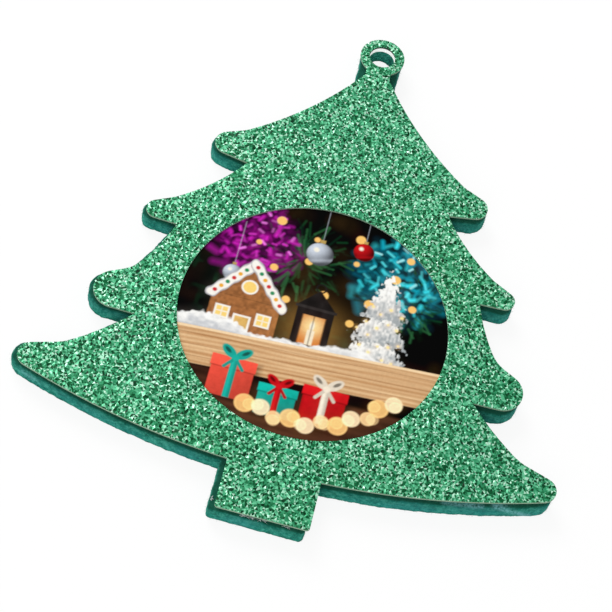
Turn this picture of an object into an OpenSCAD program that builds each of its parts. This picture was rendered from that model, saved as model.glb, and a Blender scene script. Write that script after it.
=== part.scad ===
// Tree-shaped hanging ornament with a round picture, a glitter face and a thick felt back.
// It lies on its back: the felt rests on Z = 0 and the picture looks up along +Z.
// The origin is the centre of the hanging hole at the felt's back, and the tree hangs along -Y.
// Heights in the outline are measured up the tree from the foot of the trunk.

/* [Branch tiers, from the top tier to the bottom one] */
// How far each tier's tips reach out past the picture window's edge
tip_margin = [1.9, 10.6, 15.4, 24.6]; // [0:0.1:35]
// Height of each tip's centre above the foot
tip_height = [77.3, 57.9, 38.1, 20.1]; // [12:0.1:90]
// Radius of each rounded tip
tip_r = [2.6, 2.0, 4.0, 2.5]; // [1.5:0.1:5]
// Slope of the edge under each of the three upper tiers, in degrees
under_slope = [11, 3, 1.5]; // [0:0.5:20]
// Slope of the short straight shoulder above each tip, in degrees
shoulder_slope = [24, 28, 28, 18]; // [10:1:35]
// Length of each shoulder
shoulder_length = [3.3, 3.5, 2.4, 4.4]; // [1:0.1:6]
// Radius of the hollow where each shoulder turns up into the sweep
fillet_r = [7.5, 8, 7, 10]; // [4:0.5:15]
// Slope at which each sweep starts, in degrees
sweep_slope = [37, 37, 60, 37]; // [35:1:65]
// Radius of the long hollow sweep up to the next tier
sweep_r = [74, 43, 43, 58]; // [35:1:120]

/* [Trunk and skirt] */
// Width of the trunk
trunk_w = 17.2; // [10:0.1:30]
// Radius of the trunk's two corners
trunk_corner_r = 0.6; // [0.2:0.1:3]
// Height of the skirt's lowest point above the foot
skirt_height = 9.6; // [5:0.1:14]

/* [Hanging ring] */
// Height of the hanging hole's centre above the foot
hole_height = 108.1; // [106:0.1:116]
// Radius of the hanging hole, through every layer
hole_r = 2.6; // [1.5:0.1:2.8]
// Outer radius of the ring
ring_r = 4.5; // [4.2:0.1:7]
// Width of the neck between the ring and the tree
neck_w = 5; // [3:0.1:8]
// Radius of the round end of the felt's tab, behind the ring
felt_tab_r = 4.0; // [3.8:0.1:7]
// Width of the felt's tab, whose sides run straight down to the tree
felt_tab_w = 7.6; // [3:0.1:8]

/* [Picture window] */
// Radius of the round window in the glitter sheet
window_r = 25.4; // [15:0.1:27]
// Width of the band left between the window and the skirt's lowest point
window_band = 7.5; // [4:0.1:12]
// How far the glitter sheet laps over the picture disc
disc_lap = 1.6; // [0.6:0.1:2.5]
// Gap between the picture disc and the card around it
disc_gap = 0.15; // [0.1:0.05:0.5]

/* [Layers] */
// Thickness of the glitter sheet
sheet_t = 0.45; // [0.2:0.05:1]
// Thickness of the white card that holds the picture disc
card_t = 1.0; // [0.6:0.05:2]
// Thickness of the felt
felt_t = 3.2; // [2:0.1:6]
// How far the card's edge lies inside the glitter sheet's edge
card_inset = 0.9; // [0.4:0.1:1.3]
// How far the felt's edge stands outside the glitter sheet's edge
felt_proud = 0.2; // [0:0.05:0.6]
// Angle by which the felt is glued on askew, about the hanging hole, in degrees
felt_turn = 0.5; // [-2:0.1:2]

/* [Picture: ink] */
// Thickness of one layer of ink
ink_t = 0.03; // [0.02:0.01:0.06]
// Bare edge left between the print and the window
print_margin = 0.1; // [0.05:0.05:1]
// Height of the picture's brown floor, as a share of the print's radius below its centre
floor_drop = 0.62; // [0.5:0.01:0.9]

/* [Picture: motifs, placed from its centre] */
// Foot of the gingerbread house
house_at = [-13, -8]; // [-20:0.5:20]
// Width of the house and height of its walls
house_size = [13, 9]; // [4:0.5:16]
// Foot of the snowy fir
fir_at = [12.5, -7]; // [-20:0.5:20]
// Width and height of the snowy fir
fir_size = [14, 22]; // [4:0.5:26]
// Foot of the lantern
lantern_at = [0, -7]; // [-20:0.5:20]
// Width and height of the lantern
lantern_size = [7, 14]; // [3:0.5:18]
// Middle of the wooden plank
plank_at = [0, -10]; // [-16:0.5:16]
// Height of the plank
plank_h = 8; // [2:0.5:12]
// Tilt of the plank, in degrees
plank_tilt = 4; // [-15:1:15]
// How far each of the three baubles lies to the right
bauble_x = [-2, 6, -17]; // [-20:0.5:20]
// How high each bauble hangs
bauble_y = [15, 18, 6]; // [-20:0.5:20]
// Radius of each bauble
bauble_r = [2.6, 2.0, 1.8]; // [1:0.1:5]
// How far each of the three gifts lies to the right
gift_x = [-12, -3, 5.5]; // [-20:0.5:20]
// Height of each gift's foot
gift_y = [-20.5, -22, -21]; // [-22:0.5:20]
// Width of each gift
gift_w = [8, 7, 8]; // [3:0.5:12]
// Height of each gift
gift_h = [8.5, 6.5, 7.5]; // [3:0.5:12]

/* [Picture: tinsel, needles and lights] */
// How far each of the two clumps of tinsel lies to the right
tinsel_x = [-14, 14]; // [-20:0.5:20]
// How high each clump lies
tinsel_y = [15, 14]; // [-20:0.5:20]
// Radius of each clump
tinsel_spread = [6, 7]; // [2:0.5:12]
// Number of strokes in each clump
tinsel_count = [14, 18]; // [4:1:24]
// Length of one stroke of tinsel
stroke_l = 1.6; // [0.8:0.1:4]
// Width of one stroke of tinsel
stroke_w = 0.7; // [0.4:0.1:2]
// How far each of the two fans of needles lies to the right
needles_x = [-5, 15]; // [-20:0.5:20]
// How high the middle of each fan lies
needles_y = [13, 9]; // [-20:0.5:20]
// Reach of each fan's needles
needles_reach = [11, 9]; // [3:0.5:14]
// Number of needles in a fan
needles_count = 9; // [5:1:15]
// Width of a needle at the middle of its fan
needle_w = 1.4; // [0.6:0.1:3]
// Radius of the largest blurred light
light_r = 1.9; // [1:0.1:2.5]
// Number of blurred lights in the row at the foot of the picture
front_lights = 11; // [6:1:16]
// Number of blurred lights scattered over the dark background
back_lights = 16; // [8:1:24]

/* [Hidden] */
// Largest distance between an arc and the chords that stand for it
chord_sag = 0.008;
// Least radius left on a trunk corner when the outline is moved in
sharp_r = 0.05;
// Half width of the tree at each tier's tips
tip_reach = [for (margin = tip_margin) window_r + margin];
// Height of the window's centre above the foot
window_height = skirt_height + window_band + window_r;
disc_r = window_r + disc_lap;
card_z = felt_t;
sheet_z = card_z + card_t;
print_r = window_r - print_margin;
TIERS = len(tip_reach);
lowest = TIERS - 1;
// The skirt is one arc, centred on the tree's axis, that touches the lowest tip's round
lowest_x = tip_reach[lowest] - tip_r[lowest];
lowest_h = tip_height[lowest] - skirt_height;
skirt_r = (lowest_x^2 + lowest_h^2 - tip_r[lowest]^2) / (2 * (lowest_h - tip_r[lowest]));
// Angle between neighbours in an even scatter
golden_angle = 137.5;
// Angles between which the row of blurred lights lies, about the picture's centre
lights_from = -112;
lights_to = -36;
// Inks
ground_ink = [0.07, 0.07, 0.05];
floor_ink = [0.36, 0.22, 0.15];
needle_ink = [0.07, 0.22, 0.11];
magenta_ink = [0.68, 0.10, 0.55];
cyan_ink = [0.16, 0.72, 0.78];
wood_ink = [0.87, 0.68, 0.46];
grain_ink = [0.74, 0.54, 0.34];
biscuit_ink = [0.74, 0.50, 0.30];
icing_ink = [0.97, 0.95, 0.91];
glow_ink = [0.98, 0.83, 0.50];
hot_ink = [0.99, 0.95, 0.84];
iron_ink = [0.10, 0.09, 0.09];
silver_ink = [0.66, 0.70, 0.75];
red_ink = [0.80, 0.12, 0.15];
coral_ink = [0.92, 0.37, 0.30];
teal_ink = [0.14, 0.66, 0.60];
tinsel_inks = [magenta_ink, cyan_ink];
bauble_inks = [silver_ink, red_ink, silver_ink];
paper_inks = [coral_ink, teal_ink, red_ink];
ribbon_inks = [teal_ink, red_ink, icing_ink];
// Place of the motif that is being drawn, from the picture's centre
$motif_at = [0, 0];
$fn = 96;

// Unit vector at an angle
function dir(a) = [cos(a), sin(a)];

// Number of chords that an arc needs to stay within chord_sag of the true curve
function chords(r, turn) = max(2, ceil(abs(turn) * PI / 180 / sqrt(8 * chord_sag / r)));

// Points on the arc about c with radius r, from angle a to angle b
function arc(c, r, a, b) =
    let (n = chords(r, b - a))
    [for (i = [0:n]) c + r * dir(a + (b - a) * i / n)];

// The same points on the other side of the tree, in the order that closes the outline
function mirrored(points) = [for (i = [len(points) - 1:-1:0]) [-points[i].x, points[i].y]];

// Centre of a tier's rounded tip
function tip_centre(k) = [tip_reach[k] - tip_r[k], tip_height[k]];

// Centre of the fillet at the inner end of a tier's shoulder, which lies outside the tree
function fillet_centre(k) =
    let (up = dir(90 - shoulder_slope[k]))
    tip_centre(k) + (tip_r[k] + fillet_r[k]) * up + shoulder_length[k] * dir(180 - shoulder_slope[k]);

// Centre of the sweep, on one line with the fillet's centre where the two arcs meet
function sweep_centre(k) = fillet_centre(k) + (sweep_r[k] - fillet_r[k]) * dir(90 - sweep_slope[k]);

// Height at which a sweep is well inside what stands above it
function sweep_top(k) = k == 0 ? hole_height - ring_r : tip_height[k - 1];

// Slope of a sweep where it reaches that height, or where it is well inside the neck if that comes first
function sweep_end(k, inset) =
    let (c = sweep_centre(k), r = sweep_r[k] + inset)
    min(acos((c.y - sweep_top(k)) / r), asin(min(1, (c.x - neck_w / 4) / r)));

// Lower edge and tip of a tier: a straight edge for the upper tiers, the skirt's arc for the lowest
function lower_side(k, inset) =
    k == lowest
        ? let (c = [0, skirt_height + skirt_r], a = atan2(lowest_x, c.y - tip_height[k]))
          concat(arc(c, skirt_r - inset, -90, a - 90),
                 arc(tip_centre(k), tip_r[k] - inset, a - 90, 90 - shoulder_slope[k]))
        : let (a = under_slope[k], p = tip_centre(k) + (tip_r[k] - inset) * dir(a - 90))
          concat([[0, p.y - p.x * tan(a)]],
                 arc(tip_centre(k), tip_r[k] - inset, a - 90, 90 - shoulder_slope[k]));

// Fillet and sweep above a tier's shoulder, both hollow, so their radii grow with the inset
function upper_side(k, inset) =
    concat(arc(fillet_centre(k), fillet_r[k] + inset, -90 - shoulder_slope[k], -90 - sweep_slope[k]),
           arc(sweep_centre(k), sweep_r[k] + inset, -90 - sweep_slope[k], -90 - sweep_end(k, inset)));

// One tier of branches, both sides, moved in from its true edge by the inset
module tier(k, inset) {
    side = concat(lower_side(k, inset), upper_side(k, inset));
    polygon(concat(side, mirrored(side)));
}

// Trunk with two rounded corners, from the foot up into the lowest tier
module trunk(inset) {
    r = max(trunk_corner_r - inset, sharp_r);
    x = trunk_w / 2 - inset;
    side = concat(arc([x - r, inset + r], r, -90, 0), [[x, tip_height[lowest]]]);
    polygon(concat(side, mirrored(side)));
}

// Round of radius r about the hanging hole, and the neck of width w under it, without the hole
module ring(inset, r, w) {
    translate([0, hole_height]) circle(r = r - inset);
    translate([inset - w / 2, tip_height[0]]) square([w - 2 * inset, hole_height - tip_height[0]]);
}

// The tree's outline in its own frame, with the hanging hole at the origin
module outline(inset = 0, top_r = ring_r, top_w = neck_w) {
    difference() {
        translate([0, -hole_height]) union() {
            for (k = [0:TIERS - 1]) tier(k, inset);
            trunk(inset);
            ring(inset, top_r, top_w);
        }
        circle(r = hole_r);
    }
}

// Places its children at the centre of the picture window
module at_window() {
    translate([0, window_height - hole_height]) children();
}

// Glitter-coated face sheet with the picture window
module glitter_sheet() {
    color([0.27, 0.63, 0.43])
    translate([0, 0, sheet_z]) linear_extrude(sheet_t) difference() {
        outline();
        at_window() circle(r = window_r);
    }
}

// White card between the sheet and the felt, cut out round the picture disc
module backing_card() {
    color([0.93, 0.92, 0.88])
    translate([0, 0, card_z]) linear_extrude(card_t) difference() {
        outline(card_inset);
        at_window() circle(r = disc_r + disc_gap);
    }
}

// Thick felt back, whose top is a plain tab and not a ring with a neck
module felt_body() {
    color([0.12, 0.48, 0.38])
    rotate(-felt_turn) linear_extrude(felt_t) outline(-felt_proud, felt_tab_r, felt_tab_w);
}

// One field of ink at the motif's place, trimmed to the printed circle, with its top at a given layer
module ink(layer, shade) {
    color(shade) linear_extrude(card_t + layer * ink_t) intersection() {
        circle(r = print_r);
        translate($motif_at) children();
    }
}

// Gives the ink of its children their place in the picture
module motif(at) {
    $motif_at = at;
    children();
}

// Place of copy i of n in an even scatter over an ellipse
function scattered(i, n, radii) =
    let (spread = sqrt(i / n), turn = dir(i * golden_angle))
    [radii.x * spread * turn.x, radii.y * spread * turn.y];

// Triangle that stands on the origin
module gable(w, h) {
    polygon([[-w / 2, 0], [w / 2, 0], [0, h]]);
}

// Rectangle that stands on the origin
module upright(w, h) {
    translate([-w / 2, 0]) square([w, h]);
}

// Dark ground of the picture, with the brown floor across its foot
module print_ground() {
    ink(1, ground_ink) circle(r = print_r);
    ink(2, floor_ink) translate([0, -(2 + floor_drop) * print_r]) upright(2 * print_r, 2 * print_r);
}

// Clump of short bright strokes
module tinsel(count, spread, shade) {
    for (i = [1:count])
        ink(2, shade) translate(scattered(i, count, [spread, spread]))
            rotate(2 * i * golden_angle) square([stroke_l, stroke_w], center = true);
}

// Fan of dark green needles
module needles(reach) {
    for (i = [0:needles_count - 1])
        ink(2, needle_ink) rotate(360 * i / needles_count) gable(needle_w, reach);
}

// Light wooden plank with three lines of grain
module plank() {
    grain_w = plank_h / 34;
    ink(3, wood_ink) rotate(plank_tilt) square([2 * print_r, plank_h], center = true);
    for (i = [-1:1])
        ink(4, grain_ink) rotate(plank_tilt) translate([0, i * 0.3 * plank_h])
            square([2 * print_r, grain_w], center = true);
}

// Gingerbread house with icing along its roof, a lit door and two lit windows
module house(w, h) {
    roof_h = 0.62 * w;
    pitch = atan2(roof_h, w / 2);
    icing_l = 0.82 * w;
    icing_w = 0.14 * w;
    pane = w / 6;
    ink(3, biscuit_ink) union() {
        upright(w, h);
        translate([0, h]) gable(w, roof_h);
    }
    ink(4, glow_ink) upright(w / 5, 0.55 * h);
    for (side = [0, 1]) {
        ink(4, icing_ink) mirror([side, 0]) translate([0, h + roof_h]) rotate(-pitch)
            translate([(icing_l - icing_w) / 2, 0]) square([icing_l, icing_w], center = true);
        ink(4, glow_ink) mirror([side, 0]) translate([0.3 * w, 0.45 * h]) upright(pane, pane);
    }
}

// White fir of three overlapping gables, each narrower than the one below it
module snowy_fir(w, h) {
    layer_h = h / 2;
    rise = h / 4;
    for (i = [0:2])
        ink(3, icing_ink) translate([0, i * rise]) gable(w * (1 - i / 5), layer_h);
}

// Iron lantern with a lit pane and a candle
module lantern(w, h) {
    case_h = 0.7 * h;
    sill = 0.12 * h;
    ink(3, iron_ink) union() {
        upright(w, case_h);
        translate([0, case_h]) gable(w, h - case_h);
    }
    ink(4, glow_ink) translate([0, sill]) upright(0.62 * w, case_h - 2 * sill);
    ink(5, hot_ink) translate([0, sill]) upright(w / 5, case_h / 3);
}

// Shiny ball with its highlight
module bauble(r, shade) {
    ink(4, shade) circle(r = r);
    ink(5, hot_ink) translate([-r, r] * 0.3) circle(r = r * 0.35);
}

// Wrapped box with a ribbon and the two loops of its bow
module gift(w, h, paper, ribbon) {
    band = w / 6;
    ink(5, paper) upright(w, h);
    ink(6, ribbon) upright(band, h);
    for (lean = [-50, 50])
        ink(6, ribbon) translate([0, h]) rotate(lean) gable(1.6 * band, 2 * band);
}

// Row of blurred lights along the foot of the picture, in two ranks and three sizes
module front_row() {
    for (i = [0:front_lights - 1]) {
        reach = print_r - light_r * (i % 2 == 0 ? 1.6 : 2.1);
        at = reach * dir(lights_from + (lights_to - lights_from) * i / (front_lights - 1));
        ink(7, i % 2 == 0 ? glow_ink : hot_ink) translate(at) circle(r = light_r * (1 - i % 3 / 8));
    }
}

// Small blurred lights scattered over the upper part of the picture
module far_lights() {
    radii = [0.78, 0.5] * print_r;
    for (i = [1:back_lights])
        ink(4, glow_ink) translate([0, 0.42 * print_r] + scattered(i, back_lights, radii))
            circle(r = light_r * (3 + i % 3) / 10);
}

// The whole picture, from its dark ground to the lights in front
module picture() {
    print_ground();
    far_lights();
    for (i = [0, 1]) {
        motif([needles_x[i], needles_y[i]]) needles(needles_reach[i]);
        motif([tinsel_x[i], tinsel_y[i]]) tinsel(tinsel_count[i], tinsel_spread[i], tinsel_inks[i]);
    }
    motif(fir_at) snowy_fir(fir_size.x, fir_size.y);
    motif(house_at) house(house_size.x, house_size.y);
    motif(lantern_at) lantern(lantern_size.x, lantern_size.y);
    motif(plank_at) plank();
    for (i = [0:2]) {
        motif([bauble_x[i], bauble_y[i]]) bauble(bauble_r[i], bauble_inks[i]);
        motif([gift_x[i], gift_y[i]]) gift(gift_w[i], gift_h[i], paper_inks[i], ribbon_inks[i]);
    }
    front_row();
}

// Hard white disc that carries the picture, a relief of layers of ink on its face
module picture_disc() {
    translate([0, 0, card_z]) at_window() {
        color([0.95, 0.95, 0.93]) cylinder(r = disc_r, h = card_t);
        picture();
    }
}

glitter_sheet();
picture_disc();
backing_card();
felt_body();
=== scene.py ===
# %% [markdown]
# A flat fir-tree ornament is a stack of four layers: a glitter sheet with a round window, a printed
# picture disc, a white card and a thick felt back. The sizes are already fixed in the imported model,
# so this lesson only gives each layer its surface. The model is loaded first and is never moved.

# %% Load the fixed frame
import itertools
import math

import bpy
import numpy as np
from mathutils import Matrix, Vector, geometry


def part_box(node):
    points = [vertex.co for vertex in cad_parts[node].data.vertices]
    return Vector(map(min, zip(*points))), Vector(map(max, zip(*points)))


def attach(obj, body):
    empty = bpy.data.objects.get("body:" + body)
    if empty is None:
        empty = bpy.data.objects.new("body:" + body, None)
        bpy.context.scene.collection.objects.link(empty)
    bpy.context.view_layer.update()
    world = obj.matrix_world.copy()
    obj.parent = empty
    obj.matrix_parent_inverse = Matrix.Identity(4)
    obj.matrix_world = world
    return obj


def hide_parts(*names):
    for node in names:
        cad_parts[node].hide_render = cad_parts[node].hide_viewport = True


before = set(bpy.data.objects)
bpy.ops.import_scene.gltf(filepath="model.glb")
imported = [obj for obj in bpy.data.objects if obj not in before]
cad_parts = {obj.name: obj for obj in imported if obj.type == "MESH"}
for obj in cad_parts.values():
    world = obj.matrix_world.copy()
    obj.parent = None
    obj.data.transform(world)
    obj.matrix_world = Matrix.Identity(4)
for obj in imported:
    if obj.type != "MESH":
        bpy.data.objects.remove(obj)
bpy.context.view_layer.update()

MM = 0.001

# %% [markdown]
# The camera comes first, because every later choice is judged through it. The photograph was taken
# from above the foot of the tree, with the camera tilted, so the place is written as a photographer
# would say it: an aim on the face, a distance, an elevation, an azimuth and a roll. The focal length
# is in pixels of a 612 pixel picture, and Blender wants it in millimetres on its sensor.

# %% Camera at the photograph's angle
PICTURE_PX = 612
FOCAL_PX = 2123.2
AIM = Vector((-2.05, -59.89, 0.0)) * MM
DISTANCE = 400 * MM
ELEVATION = math.radians(56.64)
AZIMUTH = math.radians(-0.07)
ROLL = math.radians(14.81)
SENSOR_MM = 36


def placed(name, data):
    """An object at the origin that is part of the scene."""
    made = bpy.data.objects.new(name, data)
    bpy.context.scene.collection.objects.link(made)
    return made


# The camera's back points from the aim to its place, and the roll turns its other two axes about it.
flat = math.cos(ELEVATION)
back = Vector((-math.sin(AZIMUTH) * flat, -math.cos(AZIMUTH) * flat, math.sin(ELEVATION)))
level = Vector((0, 0, 1)).cross(back).normalized()
upright = back.cross(level)
right = math.cos(ROLL) * level + math.sin(ROLL) * upright
up = math.cos(ROLL) * upright - math.sin(ROLL) * level
camera_data = bpy.data.cameras.new("camera")
camera_data.sensor_width = SENSOR_MM
camera_data.lens = FOCAL_PX / PICTURE_PX * SENSOR_MM
camera_data.clip_start = DISTANCE / 100
camera_data.clip_end = DISTANCE * 100
camera = placed("camera", camera_data)
turn = Matrix((right, up, back)).transposed()
camera.matrix_world = Matrix.Translation(AIM + DISTANCE * back) @ turn.to_4x4()
bpy.context.scene.camera = camera
print("lens", round(camera_data.lens, 2), "mm at", [round(c / MM, 1) for c in camera.location])

# %% [markdown]
# A finish is a small network of nodes. Written out link by link it hides its formula, so one class
# wraps a socket and lets it be added and multiplied like a number. Every other node comes from one
# method, which takes the node's settings first and then the values or links of its sockets.

# %% Sockets as expressions
class Wire:
    """A socket whose value can be used in a formula; each operator adds one Math node."""

    def __init__(self, look, socket):
        self.look = look
        self.socket = socket

    def math(self, operation, *values):
        return self.look.node("Math", {"operation": operation}, dict(enumerate([self, *values])), "Value")

    def between(self, low, high):
        """0 at low, 1 at high, and a straight slope between them."""
        return self.look.node("MapRange", {}, {0: self, 1: low, 2: high}, "Result")

    def __add__(self, other):
        return self.math("ADD", other)

    def __mul__(self, other):
        return self.math("MULTIPLY", other)

    __radd__ = __add__
    __rmul__ = __mul__


print("a number may stand first:", Wire.__radd__ is Wire.__add__, Wire.__rmul__ is Wire.__mul__)

# %% Materials
RIM_FULL, RIM_OVER = 3.0 * MM, 4.0 * MM


class Look:
    """A material being made: its shader, its constants and one method that adds any node."""

    def __init__(self, name, **constants):
        self.material = bpy.data.materials.new(name)
        self.material.use_nodes = True
        self.tree = self.material.node_tree
        self.shader = self.tree.nodes["Principled BSDF"]
        self.set(**constants)

    def node(self, kind, settings, inputs, output):
        """Adds a node of a kind, sets it, fills its sockets by name or number, and returns one output."""
        made = self.tree.nodes.new("ShaderNode" + kind)
        stops = settings.pop("stops", ())
        for word, value in settings.items():
            setattr(made, word, value)
        for place, (position, *colour) in enumerate(stops):
            if place > 1:
                made.color_ramp.elements.new(position)
            made.color_ramp.elements[place].position = position
            made.color_ramp.elements[place].color = (*linear(*colour), 1)
        for place, value in inputs.items():
            self.feed(made.inputs[place], value)
        return Wire(self, made.outputs[output])

    def feed(self, socket, value):
        if isinstance(value, Wire):
            self.tree.links.new(value.socket, socket)
        else:
            socket.default_value = value

    def set(self, **values):
        """Feeds the shader's sockets; a name has _ for each space."""
        for words, value in values.items():
            self.feed(self.shader.inputs[words.replace("_", " ")], value)

    def place(self):
        return self.node("TexCoord", {}, {}, "Object")

    def attribute(self, name, output):
        return self.node("Attribute", {"attribute_name": name}, {}, output)

    def noise(self, where, size_mm, detail=2.0):
        """Cloudy noise whose largest lumps are about size_mm across."""
        inputs = {"Vector": where, "Scale": 1 / (size_mm * MM), "Detail": detail}
        return self.node("TexNoise", {}, inputs, "Fac")

    def ramp(self, factor, *stops):
        """Colour that runs through stops, each a position and a screen colour."""
        return self.node("ValToRGB", {"stops": stops}, {"Fac": factor}, "Color")

    def near_hole(self):
        """1 up to RIM_FULL from the hanging hole's middle and 0 from RIM_OVER on."""
        inputs = {0: self.place(), 1: (1, 1, 0)}
        flat = self.node("VectorMath", {"operation": "MULTIPLY"}, inputs, "Vector")
        away = self.node("VectorMath", {"operation": "LENGTH"}, {0: flat}, "Value")
        return away.between(RIM_OVER, RIM_FULL)

    def blend(self, factor, one, other):
        """Colour from one to the other. A Mix node takes colours at 6 and 7 and gives one at 2."""
        mix = self.node("Mix", {"data_type": "RGBA"}, {0: factor}, 2)
        self.feed(mix.socket.node.inputs[6], one)
        self.feed(mix.socket.node.inputs[7], other)
        return mix

    def bump(self, height, depth_mm, strength=1.0):
        inputs = {"Height": height, "Distance": depth_mm * MM, "Strength": strength}
        return self.node("Bump", {}, inputs, "Normal")


def linear(*screen):
    """A screen colour's three channels of 0 to 255, or several such colours, in the linear light that
    Blender mixes."""
    share = np.array(screen) / 255
    return np.where(share < 0.04045, share / 12.92, ((share + 0.055) / 1.055) ** 2.4)


print("a mid grey of 128 is", round(linear(128, 128, 128)[0], 3), "in linear light")

# %% [markdown]
# A few helpers shape everything. One puts whole arrays of points and faces into a mesh. One makes
# smooth noise from a seeded table, so that every run gives the same surface. Others read the cut
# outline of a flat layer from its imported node, so that no new piece can drift from its layer, and
# close it to a slab: a filled top, a wall carried along the outline and a filled bottom.

# %% Meshes and noise
NOISE_TABLE = 4096
NOISE_STRIDES = (73, 1259, 2477)


def new_piece(name, points, faces, look, smooth=True):
    """Makes a mesh object at the origin from an array of points and a list of faces. Smooth is one
    answer, or one for each face."""
    mesh = bpy.data.meshes.new(name)
    mesh.from_pydata(points, [], faces)
    mesh.materials.append(look.material)
    mesh.polygons.foreach_set("use_smooth", np.full(len(mesh.polygons), smooth))
    piece = placed(name, mesh)
    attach(piece, "root")
    return piece


def give(piece, name, kind, domain, field, values):
    """Gives a piece's mesh an attribute that its material reads."""
    piece.data.attributes.new(name, kind, domain).data.foreach_set(field, np.ravel(values))


def points_of(mesh):
    places = np.empty(len(mesh.vertices) * 3)
    mesh.vertices.foreach_get("co", places)
    return places.reshape(-1, 3)


def lattice_noise(points, cell, seed):
    """Smooth noise from 0 to 1: each corner of a lattice has a random number, and a point blends the
    corners around it with the weight t * t * (3 - 2 t) along each axis."""
    table = np.random.default_rng(seed).random(NOISE_TABLE)
    scaled = points / cell
    base = np.floor(scaled).astype(int)
    share = scaled - base
    share = share * share * (3 - 2 * share)
    total = np.zeros(len(points))
    for corner in itertools.product((0, 1), repeat=points.shape[1]):
        key = ((base + corner) * NOISE_STRIDES[:points.shape[1]]).sum(axis=1) % NOISE_TABLE
        total += np.where(corner, share, 1 - share).prod(axis=1) * table[key]
    return total


print("noise along a line:", np.round(lattice_noise(np.linspace(0, 2, 5)[:, None], 1.0, 1), 2))

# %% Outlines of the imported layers
SAME_HEIGHT = 0.01 * MM
FACE_STEP = 0.3 * MM


def triangles_of(node):
    """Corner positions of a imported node's triangles, as an array of triangle, corner, axis."""
    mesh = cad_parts[node].data
    mesh.calc_loop_triangles()
    corners = np.empty(len(mesh.loop_triangles) * 3, dtype=np.int32)
    mesh.loop_triangles.foreach_get("vertices", corners)
    return points_of(mesh)[corners.reshape(-1, 3)]


def cut_outline(node):
    """Start and end points of the edges round a flat node's top face, with the layer on their left.
    They are the edges of its top triangles that no second triangle runs along the other way."""
    corners = triangles_of(node)
    top = corners[..., 2].max()
    flat = corners[(corners[..., 2] > top - SAME_HEIGHT).all(axis=1)][..., :2]
    points, index = np.unique(np.round(flat.reshape(-1, 2), 6), axis=0, return_inverse=True)
    loops = index.reshape(-1, 3)
    starts = loops.ravel()
    ends = np.roll(loops, -1, axis=1).ravel()
    key = starts * len(points) + ends
    twin = ends * len(points) + starts
    rim = ~np.isin(key, twin) & (starts != ends)
    return points, starts[rim], ends[rim]


def sampled_outline(node, step):
    """Points along a node's cut outline about one step apart, and the index of each one's next."""
    points, starts, ends = cut_outline(node)
    span = points[ends] - points[starts]
    count = np.maximum(1, np.ceil(np.linalg.norm(span, axis=1) / step).astype(int))
    first = np.cumsum(count) - count
    edge = np.repeat(np.arange(len(count)), count)
    place = np.arange(len(edge)) - first[edge]
    path = points[starts[edge]] + span[edge] * (place / count[edge])[:, None]
    edge_at = np.empty(len(points), dtype=int)
    edge_at[starts] = np.arange(len(starts))
    last = place == count[edge] - 1
    following = np.where(last, first[edge_at[ends[edge]]], np.arange(len(edge)) + 1)
    return path, following


def outward(path, following):
    """Unit normal at each point of a path, away from the layer on its left: the chord from the point
    before to the point after, turned a quarter turn clockwise."""
    before = np.empty_like(following)
    before[following] = np.arange(len(following))
    chord = path[following] - path[before]
    normal = np.stack([chord[:, 1], -chord[:, 0]], axis=1)
    return normal / np.linalg.norm(normal, axis=1, keepdims=True)


face_path, face_next = sampled_outline("glitter_sheet", FACE_STEP)
print("the glitter sheet's outline has", len(face_path), "points along its edge, window and hole")

# %% Filling an outline
SLIVER = 1e-5 * MM * MM
JITTER = 0.7
BATCHES = 40


def inside(points, path, following):
    """True for each point within the outline, by counting the edges that a level ray crosses. The edges
    come in batches, so that the tables of points by edges stay small."""
    odd = np.zeros(len(points), dtype=bool)
    for a, b in zip(np.array_split(path, BATCHES), np.array_split(path[following], BATCHES)):
        x, y = points[:, :1], points[:, 1:]
        straddles = (a[:, 1] > y) != (b[:, 1] > y)
        rise = np.where(a[:, 1] == b[:, 1], 1, b[:, 1] - a[:, 1])
        crossing = a[:, 0] + (y - a[:, 1]) * (b[:, 0] - a[:, 0]) / rise
        odd ^= (straddles & (x < crossing)).sum(axis=1) % 2 == 1
    return odd


def filled(path, following, spacing, seed, clearance):
    """Triangles over an outline, with jittered points about one spacing apart inside it. Returns the
    added points and the triangles, whose first indices are those of the path. Three points in a row on a
    straight edge can make a triangle with no area, which is left out."""
    rng = np.random.default_rng(seed)
    low, high = path.min(axis=0), path.max(axis=0)
    across, along = (np.arange(a, b, spacing) for a, b in zip(low, high))
    grid = np.stack(np.meshgrid(across, along), axis=-1)
    grid[1::2, :, 0] += spacing / 2
    grid = grid.reshape(-1, 2) + (rng.random((grid.size // 2, 2)) - 0.5) * spacing * JITTER
    grid = grid[inside(grid, path - outward(path, following) * clearance, following)]
    everything = np.vstack([path, grid])
    rim = np.stack([np.arange(len(path)), following], axis=1)
    made = geometry.delaunay_2d_cdt([Vector(p) for p in everything], rim.tolist(), [], 0, 1e-9)
    triangles = np.array(made[2])
    centres = everything[triangles].mean(axis=1)
    triangles = triangles[inside(centres, path, following)]
    a, b, c = (everything[triangles[:, k]] for k in range(3))
    area = ((b[:, 0] - a[:, 0]) * (c[:, 1] - a[:, 1]) - (b[:, 1] - a[:, 1]) * (c[:, 0] - a[:, 0])) / 2
    triangles[area < 0] = triangles[area < 0][:, ::-1]
    return grid, triangles[np.abs(area) > SLIVER]


def raised(points, height):
    """Points of a flat outline lifted to a height, one number or one for each point."""
    return np.column_stack([points, np.broadcast_to(height, len(points))])


places = np.array([(0, -65), (0, -95)]) * MM
print("paper in the window and below it:", inside(places, face_path, face_next))

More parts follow.
